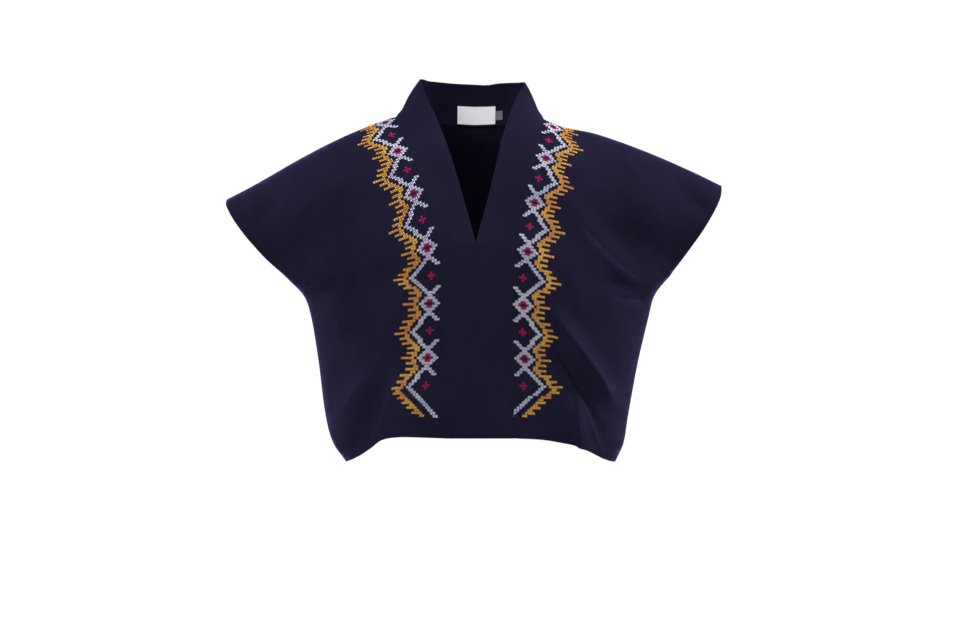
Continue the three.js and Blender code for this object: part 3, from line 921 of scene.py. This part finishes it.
def make_front(side):
    u, v = grid_of(*FRONT_GRID)
    middle, normal = front_surface(side, u, v)
    row = row_share(v)
    normal[:, 0] = mitre(normal[:, 0], band_normal(side, v[:, 0], 0.0))
    middle[:, 0, 0] += ACROSS[side] * SEAM_GAP / 2
    seamed = (u == 1) & (row <= UNDERARM) | (v == 1)
    normal = np.where(seamed[..., None], in_seam_plane(normal), normal)
    run_u, run_v = distances(middle, 1), distances(middle, 0)
    wall = hem_wall(run_v, cuff_distance(run_u, row))
    return shell(f"front_{side}_cloth", middle, normal, CLOTH_HALF, wall, cloth)


def back_surface(u, v):
    middle, normal = back_point(u, v), back_normal(u, v)
    x, height = back_place(u, v)
    row = row_share(v)
    side_out = np.where(u < 0, *[read(OUTLINE[s]["side"], "out", row) for s in ("right", "left")])
    to_side = np.where(row < UNDERARM, side_out - np.abs(x), 1.0)
    fade = seam_fade(np.abs(u), v, row)
    relief = fine_relief("back", 37, x, height, to_side, fade)
    return middle + unit(normal * FORWARD) * relief[..., None], normal


def make_back():
    columns, rows = BACK_GRID
    u, v = grid_of(columns, rows, -1.0)
    middle, normal = back_surface(u, v)
    row = row_share(v)
    seamed = (np.abs(u) == 1) & (row <= UNDERARM) | (v == 1) & (np.abs(u) >= NECK_SHARE)
    normal = np.where(seamed[..., None], in_seam_plane(normal), normal)
    for side, sign in ACROSS.items():
        neck = (v[-1] == 1) & (np.abs(u[-1]) < NECK_SHARE) & (np.sign(u[-1] + NUDGE) == sign)
        at = 2 - np.abs(u[-1, neck]) / NECK_SHARE
        normal[-1, neck] = mitre(normal[-1, neck], band_normal(side, at, 0.0))
        into = unit(middle[-4, neck] - middle[-1, neck])
        middle[-1, neck] += into * SEAM_GAP / 2
    run_u, run_v = distances(middle, 1), distances(middle, 0)
    from_edge = np.minimum(run_u, run_u[:, -1:] - run_u)
    wall = hem_wall(run_v, np.where(row < UNDERARM, 1.0, from_edge))
    return shell("back_cloth", middle, normal, CLOTH_HALF, wall, cloth)


def band_relief(side, at, w):
    """The band's own soft unevenness, none at its seams."""
    ripple = Ripple({"right": 51, "left": 67}[side], RIPPLE_LENGTHS, BAND_RIPPLE_HEIGHT)
    flat = band_point(side, at, w)
    fade = np.sin(w * math.pi) * smooth(0, BAND_END, at) * smooth(0, BAND_END, 2 - at)
    return ripple.at(flat[..., 0], flat[..., 2]) * fade


def make_band(side):
    stations, columns = BAND_GRID
    w, at = np.meshgrid(np.linspace(0, 1, columns + 1), np.linspace(0, 2, stations + 1))
    middle, normal = band_point(side, at, w), band_normal(side, at, w)
    seam_at = at[:, 0]
    front = front_normal(side, 0.0, np.minimum(seam_at, 1))
    back = back_normal(ACROSS[side] * NECK_SHARE * (2 - np.maximum(seam_at, 1)), 1.0)
    beside = np.where(seam_at[:, None] <= 1, front, back)
    normal[:, 0] = mitre(normal[:, 0], beside)
    middle[:, 0] += unit(middle[:, 3] - middle[:, 0]) * SEAM_GAP / 2
    joined = at[:, -1] <= V_TIP
    middle[joined, -1, 0] += ACROSS[side] * SEAM_GAP / 2
    normal[joined, -1] = unit(normal[joined, -1] * [0, 1, 1])
    middle[-1, :, 0] = ACROSS[side] * SEAM_GAP / 2
    normal[-1] = unit(normal[-1] * [0, 1, 1])
    middle += normal * band_relief(side, at, w)[..., None]
    return shell(f"band_{side}_cloth", middle, normal, BAND_HALF, BAND_HALF, band_cloth)


# ------------------------------------------------------------------ the label and its tab


def station_at(x, w):
    """The place along the back of the band whose distance from the middle is x."""
    at = np.linspace(1.3, 2, 400)
    found = np.empty_like(x)
    for k in np.ndindex(x.shape):
        side = "right" if x[k] < 0 else "left"
        run = np.abs(band_point(side, at, w[k])[:, 0])
        found[k] = np.interp(-abs(x[k]), -run, at)
    return found


def inside_band(name, size, columns, rows, material, lift=0.0):
    """A small flat piece on the inside of the band, standing off it a little more at its middle."""
    x, w = np.meshgrid(
        size["middle"] + size["width"] * np.linspace(-0.5, 0.5, columns + 1),
        np.linspace(size["from"], size["to"], rows + 1),
    )
    at = station_at(x, w)
    middle, normal = np.empty((*x.shape, 3)), np.empty((*x.shape, 3))
    for side, chosen in (("right", x < 0), ("left", x >= 0)):
        normal[chosen] = band_normal(side, np.minimum(at[chosen], 2 - STEP), w[chosen])
        relief = band_relief(side, at[chosen], w[chosen])[..., None]
        middle[chosen] = band_point(side, at[chosen], w[chosen]) + normal[chosen] * relief
    across = (w - size["from"]) / (size["to"] - size["from"])
    bulge = lift * np.sin(across * math.pi)
    middle -= normal * (LABEL_OFF + bulge)[..., None]
    return shell(name, middle, -normal, LABEL_HALF, LABEL_HALF, material)


# ------------------------------------------------------------------ cross-stitch borders

CELL = 3.55 * MM  # one cross-stitch
REPEAT = 20  # stitches from one diamond to the next
FIRST_ROW = -106  # counted from the lowest diamond's middle; the shoulder seam cuts the border off
LAST_ROW = 21
FIRST_COLUMN, LAST_COLUMN = -15, 7  # columns grow towards the band; 0 starts on the diamonds' line
BORDER_REACH = 0.4  # no border line lies further than this share of the panel from the band seam

# The line through the diamonds' middles: its distance from the band seam, its length up from the hem, and
# how many degrees the outer ends of the stitch rows drop from square to it.
BORDER_LINE = {
    "right": table(
        "row from_seam up turn",
        (-107, 17, 487, 0),
        (-100, 16.5, 464, 0),
        (-80, 14.8, 398.5, 0),
        (-60, 15.3, 326, 7),
        (-40, 15.9, 249, 6),
        (-20, 19.5, 176, 4.5),
        (-10, 20.9, 140.5, 8.5),
        (0, 22.3, 105, 6),
        (10, 26.3, 68, 12),
        (22, 30, 25, 2),
    ),
    "left": table(
        "row from_seam up turn",
        (-107, 15, 471, 4),
        (-100, 15.6, 448, 4),
        (-80, 16.2, 383.5, 5),
        (-60, 12.8, 313, 1),
        (-40, 14.6, 245, 3),
        (-20, 13.5, 174.5, 7),
        (-10, 14.7, 139, 11),
        (0, 15.9, 104, 6),
        (10, 15.6, 68.5, 2),
        (22, 15, 26, 2),
    ),
}

# The columns of each row, by its distance in rows from a diamond's middle. Past 10 the pattern turns back.
PALE_COLUMNS = (
    (-4, -3, 2, 3),
    (-3, -2, 1, 2),
    (-2, -1, 0, 1),
    (-1, 0),
    (-2, -1, 0, 1),
    (-3, -2, 1, 2),
    (-4, -3, 2, 3),
    (-4, -3),
    (-5, -4),
    (-6, -5),
    (-7, -6),
)
RED_COLUMNS = {0: (-2, 1), 1: (-1, 0), 9: (0,), 10: (-1, 0, 1)}
DARK_COLUMNS = {0: (-1, 0)}  # the dark eye of each diamond
GOLD_INNER = (-6, -5, -5, -4, -4, -5, -6, -7, -8, -8, -9)
GOLD_BAND = 2
GOLD_TEETH = {0: -10, 2: -8, 4: -8, 6: -10, 8: -11, 10: -13}
LAST_LEG_TOOTH = 3  # on the last leg every second row has a tooth this far out from the band's inner column
# The points of the zigzag worked one stitch further out, by their middle row.
LONG_POINTS = {"right": (-30,), "left": (-30, 10)}
POINT_ROWS = 3  # how many rows to each side of its middle belong to a point


def chart(side):
    """Every stitch of a border, as rows of (column, row) by thread."""
    stitches = {"pale": set(), "gold": set(), "red": set(), "dark_red": set()}
    for row in range(FIRST_ROW, LAST_ROW + 1):
        half = min(row % REPEAT, REPEAT - row % REPEAT)
        if row <= REPEAT / 2:
            pale, red, dark = PALE_COLUMNS[half], RED_COLUMNS.get(half, ()), DARK_COLUMNS.get(half, ())
            inner, tooth = GOLD_INNER[half], GOLD_TEETH.get(half)
        else:  # the last leg runs on to its end, with no diamond
            pale, red, dark = (row - 17, row - 16), RED_COLUMNS[9] if row == 11 else (), ()
            inner = row - 21
            tooth = inner - LAST_LEG_TOOTH if row % 2 == 0 else None
        outermost = inner - GOLD_BAND + 1 if tooth is None else tooth
        if any(abs(row - middle) <= POINT_ROWS for middle in LONG_POINTS[side]):
            pale, inner, outermost = [column - 1 for column in pale], inner - 1, outermost - 1
        columns = {"pale": pale, "red": red, "dark_red": dark, "gold": range(outermost, inner + 1)}
        for thread, worked in columns.items():
            stitches[thread] |= {(column, row) for column in worked}
    return {thread: np.array(sorted(cells), float) for thread, cells in stitches.items()}


def border_line(side, rows):
    """u and v on the front panel for rows of the border, on its line of diamonds."""
    line = BORDER_LINE[side]
    v, u = np.linspace(0, 1, 500), np.linspace(0, BORDER_REACH, 80)
    run = distances(front_point(side, *np.meshgrid(u, v)), 1)
    line_v = np.linspace(1, 0, len(rows))
    from_seam = read(line, "from_seam", rows, "row")
    # The row's height on the panel depends on the line's length, and that on the line. It settles at once.
    for _ in range(3):
        away = np.interp(v, line_v[::-1], from_seam[::-1])
        line_u = np.array([np.interp(away[k], run[k], u) for k in range(len(v))])
        length = distances(front_point(side, line_u, v), 0)
        line_v = np.interp(read(line, "up", rows, "row"), length, v)
    return np.interp(line_v, v, line_u), line_v


def step_on_front(side, u, v, direction):
    """u and v after a step on the panel in a direction, given as a vector in space."""
    reach = 1e-4
    along_u = (front_point(side, u + reach, v) - front_point(side, u - reach, v)) / (2 * reach)
    along_v = (front_point(side, u, v) - front_point(side, u, v - reach)) / reach
    pairs = (along_u, along_u), (along_u, along_v), (along_v, along_v)
    uu, uv, vv = [np.sum(a * b, -1) for a, b in pairs]
    du, dv = [np.sum(direction * a, -1) for a in (along_u, along_v)]
    spread = uu * vv - uv * uv
    return u + (du * vv - dv * uv) / spread, v + (dv * uu - du * uv) / spread


def border_lattice(side):
    """u and v for every half stitch: rows by columns. The rows start on the line and run straight out."""
    rows = np.arange(FIRST_ROW - 1, LAST_ROW + 1.1, 0.5)
    columns = np.arange(FIRST_COLUMN, LAST_COLUMN + 0.1, 0.5)
    middle = int(-FIRST_COLUMN * 2)
    u, v = (np.empty((len(rows), len(columns))) for _ in range(2))
    u[:, middle], v[:, middle] = border_line(side, rows)
    down = unit(np.gradient(front_point(side, u[:, middle], v[:, middle]), axis=0))
    square = -ACROSS[side] * np.cross(front_normal(side, u[:, middle], v[:, middle]), down)
    turn = np.radians(read(BORDER_LINE[side], "turn", rows, "row"))[:, None]
    inwards = (square * np.cos(turn) - down * np.sin(turn)) * CELL / 2
    for sign, order in ((1, range(middle + 1, len(columns))), (-1, range(middle - 1, -1, -1))):
        for k in order:
            near = u[:, k - sign], np.minimum(v[:, k - sign], 0.999)
            u[:, k], v[:, k] = step_on_front(side, *near, sign * inwards)
    return rows, columns, u, v


def on_lattice(lattice, values, column, row):
    """The lattice's values at places between its points."""
    rows, columns = lattice[:2]
    r, c = (row - rows[0]) * 2, (column - columns[0]) * 2
    i = np.clip(np.floor(r).astype(int), 0, len(rows) - 2)
    j = np.clip(np.floor(c).astype(int), 0, len(columns) - 2)
    shape = r.shape + (1,) * (values.ndim - 2)
    s, t = (r - i).reshape(shape), (c - j).reshape(shape)
    return mix(mix(values[i, j], values[i, j + 1], t), mix(values[i + 1, j], values[i + 1, j + 1], t), s)


STRAND_RINGS = 7
STRAND_HALF = 0.31 * MM
STRAND_RISES = (0.25 * MM, 0.75 * MM)  # how high the lower and the upper strand of a stitch arch
STRAND_REACH = 0.41  # half a strand's run, in stitches
STRAND_UNEVEN = 0.05  # how far a strand strays, in stitches
STRAND_FLAT = 0.7  # a strand's height to its width
BELOW_SHOULDER = 0.994  # no stitch is worked across the shoulder seam


def cross_stitches(name, lattice, surface, normals, cells, material):
    """Each stitch is two crossing strands, the second laid over the first."""
    chance = np.random.default_rng(5)
    cells = cells + [0.5, 0]
    cells = cells[on_lattice(lattice, lattice[3], cells[:, 0], cells[:, 1]) < BELOW_SHOULDER]
    run = np.linspace(-STRAND_REACH, STRAND_REACH, STRAND_RINGS)
    jitter = chance.uniform(-STRAND_UNEVEN, STRAND_UNEVEN, (len(cells), 2, 2))
    lines, ups = [], []
    for k, (slope, rise) in enumerate(zip((1, -1), STRAND_RISES)):
        place = cells[:, :1] + jitter[:, k, :1] + run, cells[:, 1:] + jitter[:, k, 1:] + run * slope
        up = unit(on_lattice(lattice, normals, *place))
        arch = CLOTH_HALF + rise * np.cos(run * math.pi) ** 0.7
        lines.append(on_lattice(lattice, surface, *place) + up * arch[:, None])
        ups.append(up)
    half_height = STRAND_HALF * STRAND_FLAT
    return tubes(name, np.concatenate(lines), np.concatenate(ups), STRAND_HALF, half_height, material, 6)


def make_border(side):
    lattice = border_lattice(side)
    surface, normals = front_surface(side, lattice[2], np.minimum(lattice[3], 1))
    threads = {"pale": pale_thread, "gold": gold_thread, "red": red_thread, "dark_red": dark_red_thread}
    return {
        thread: cross_stitches(f"border_{thread}_{side}", lattice, surface, normals, cells, threads[thread])
        for thread, cells in chart(side).items()
    }


# ------------------------------------------------------------------ hem stitching

STITCH_LENGTH = 2.4 * MM
STITCH_STEP = 3.2 * MM
STITCH_HALF = (0.22 * MM, 0.18 * MM)  # half its width and height
STITCH_RISE = np.array([0.0, 0.14, 0.14, 0.0]) * MM  # along a stitch
STITCH_CLEAR = 0.02 * MM
IN_FROM_HEM = 2 * MM  # the stitching's distance from the turned edge
HEM_ENDS = (0.004, 0.985)  # the share of a panel's width that is stitched
CUFF_ENDS = (0.475, 0.985)  # the share of a panel's length whose edge is the cuff


def stitch_line(path, normal):
    """Running stitches along a path of points, as thread lines and their normals."""
    run = np.concatenate([[0], np.cumsum(np.linalg.norm(np.diff(path, axis=0), axis=1))])
    starts = np.arange(STITCH_STEP, run[-1] - STITCH_STEP, STITCH_STEP)
    places = starts[:, None] + np.linspace(0, STITCH_LENGTH, 4)
    at = lambda grid: np.stack([np.interp(places, run, grid[:, k]) for k in range(3)], -1)
    return at(path), unit(at(normal))


def hem_stitches(name, paths, material):
    lines, ups = zip(*[stitch_line(path, normal) for path, normal in paths])
    lines, ups = np.concatenate(lines), np.concatenate(ups)
    lift = STITCH_RISE + CLOTH_HALF + STITCH_CLEAR
    return tubes(name, lines + ups * lift[:, None], ups, *STITCH_HALF, material)


def level_path(surface, u, v_low, v_high, distance):
    """The line on a panel that lies a distance up from its hem."""
    steps = np.linspace(v_low, v_high, 60)
    grid_u, grid_v = np.meshgrid(u, steps)
    run = distances(surface(grid_u, grid_v)[0], 0)
    v = np.array([np.interp(distance, run[:, k], steps) for k in range(len(u))])
    return surface(u, v)


def cuff_path(surface, v, u_edge, u_in, distance):
    """The line on a panel that lies a distance in from its cuff edge."""
    steps = np.linspace(u_edge, u_in, 60)
    path = [np.interp(distance, distances(surface(steps, np.full(60, one))[0], 0), steps) for one in v]
    return surface(np.array(path), v)


def make_hem_stitches():
    u, v = np.linspace(*HEM_ENDS, 200), np.linspace(*CUFF_ENDS, 160)
    back_u = np.linspace(-HEM_ENDS[1], HEM_ENDS[1], 400)
    hem, cuff = HEM_DEPTH - IN_FROM_HEM, CUFF_HEM_DEPTH - IN_FROM_HEM
    paths = {"front_right": [], "front_left": [], "back": []}
    for side in ACROSS:
        surface = lambda a, b, side=side: front_surface(side, a, b)
        paths["front_" + side].append(level_path(surface, u, 0, 0.2, hem))
        paths["front_" + side].append(cuff_path(surface, v, 1.0, 0.8, cuff))
    paths["back"].append(level_path(back_surface, back_u, 0, 0.2, hem))
    for edge in (-1, 1):
        paths["back"].append(cuff_path(back_surface, v, 1.0 * edge, 0.85 * edge, cuff))
    return {
        panel: hem_stitches(f"hem_stitches_{panel}", lines, seam_thread)
        for panel, lines in paths.items()
    }


# ------------------------------------------------------------------ putting the top together

bpy.ops.object.select_all(action="DESELECT")

hems = make_hem_stitches()
made = {}
# Each side's front panel, collar band and cross-stitch border, then the back.
for side in ACROSS:
    panel, band = make_front(side), make_band(side)
    border = make_border(side)
    made["front_" + side], made["band_" + side] = panel, band
    for thread, piece in border.items():
        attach(piece, "root")
    made["border_" + side] = list(border.values())
made["back"] = make_back()

for panel, piece in hems.items():
    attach(piece, "root")

for node, slot in (
    ("front_right", "cloth"),
    ("front_left", "cloth"),
    ("back", "cloth"),
    ("band_right", "band_cloth"),
    ("band_left", "band_cloth"),
):
    piece = made[node]
    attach(piece, "root")
    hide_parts(node)
    sewn = [hems[node]] if node in hems else []
    if node.startswith("front"):
        sewn += made["border_" + node.split("_")[1]]

label = inside_band("neck_label_tape", LABEL, 40, 20, label_tape, 0.5 * MM)
tab = inside_band("size_tab_tape", SIZE_TAB, 12, 12, size_tape)
for piece, node, flat in ((label, "neck_label", (0.052, 0.028)), (tab, "size_tab", (0.0101, 0.0135))):
    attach(piece, "root")
    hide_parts(node)

# ------------------------------------------------------------------ floor, light and camera


def paper(name, colour):
    material, tree, output = new_material(name)
    place = add(tree, "ShaderNodeTexCoord").outputs["Object"]
    grain = add(tree, "ShaderNodeTexNoise", {"Vector": place, "Scale": 30.0}).outputs["Fac"]
    rough = add(tree, "ShaderNodeMapRange", {"Value": grain, "To Min": 0.85, "To Max": 0.95})
    shader = add(
        tree,
        "ShaderNodeBsdfPrincipled",
        {"Base Color": linear(colour), "Roughness": rough.outputs["Result"]},
    )
    tree.links.new(shader.outputs[0], output.inputs[0])
    return material


ROOM_LIGHT, BACKDROP_LIGHT = 0.34, 1.02
FLOOR_BELOW = 2.5  # the top hangs in the air, and the floor lies out of sight below it

bpy.ops.mesh.primitive_plane_add(size=14, location=(0, 0, cad_box[0][2] - FLOOR_BELOW))
floor = bpy.context.object
floor.name = "floor"
floor.data.materials.append(paper("pale_paper", "#fbfbfb"))

# A white backdrop stands behind the top, and the room in front of it is dimmer.
world = bpy.data.worlds.new("studio")
world.use_nodes = True
background = world.node_tree.nodes["Background"]
facing = add(world.node_tree, "ShaderNodeTexCoord").outputs["Generated"]
behind = add(world.node_tree, "ShaderNodeSeparateXYZ", {"Vector": facing}).outputs["Y"]
strength = add(
    world.node_tree,
    "ShaderNodeMapRange",
    {"Value": behind, "From Min": -0.3, "From Max": 0.7, "To Min": ROOM_LIGHT, "To Max": BACKDROP_LIGHT},
    interpolation_type="SMOOTHSTEP",
)
world.node_tree.links.new(strength.outputs["Result"], background.inputs["Strength"])
background.inputs["Color"].default_value = linear("#ffffff")
scene = bpy.context.scene
scene.world = world
scene.view_settings.view_transform = "Standard"

TARGET = (0.0, 0.0, -0.2)


def area_light(name, place, size, watts, colour="#ffffff"):
    light = bpy.data.lights.new(name, "AREA")
    light.size = size
    light.energy = watts
    light.color = linear(colour)[:3]
    lamp = bpy.data.objects.new(name, light)
    lamp.location = place
    aim = np.array(TARGET) - place
    lamp.rotation_euler = (
        math.acos(-aim[2] / np.linalg.norm(aim)),
        0,
        math.atan2(aim[1], aim[0]) - math.pi / 2,
    )
    scene.collection.objects.link(lamp)


area_light("key", (-2.1, -1.6, 2.2), 1.3, 95)
area_light("fill", (2.3, -1.3, 2.0), 1.0, 65)
area_light("low", (-1.0, -2.7, -1.5), 1.6, 22)
area_light("top_right", (-2.7, 0.1, 1.5), 1.0, 85)
area_light("top_left", (2.8, 0.1, 1.4), 0.9, 165)
area_light("edge_right", (-2.2, 1.2, 0.3), 1.4, 60)
area_light("edge_left", (2.2, 1.2, 0.3), 1.4, 50)
area_light("behind", (0.0, 2.8, 1.6), 2.0, 40)

# A narrow beam shows the label and the inside of the collar.
beam = bpy.data.lights.new("neck", "SPOT")
beam.energy = 48
beam.spot_size = math.radians(3.6)
beam.spot_blend = 1.0
beam.shadow_soft_size = 0.05
lamp = bpy.data.objects.new("neck", beam)
lamp.location = (0.0, -3.0, 0.3)
lamp.rotation_euler = (math.radians(84.5), 0, 0)
scene.collection.objects.link(lamp)

VIEW_WIDTH = 1.296  # what the frame's width covers at the garment
VIEW_DISTANCE = 3.6
SENSOR = 36.0

camera = bpy.data.objects.new("camera", bpy.data.cameras.new("camera"))
camera.data.sensor_width = SENSOR
camera.data.lens = SENSOR * VIEW_DISTANCE / VIEW_WIDTH
camera.location = (0.0067, -VIEW_DISTANCE, -0.2727)
camera.rotation_euler = (math.pi / 2, 0, 0)
scene.collection.objects.link(camera)
scene.camera = camera
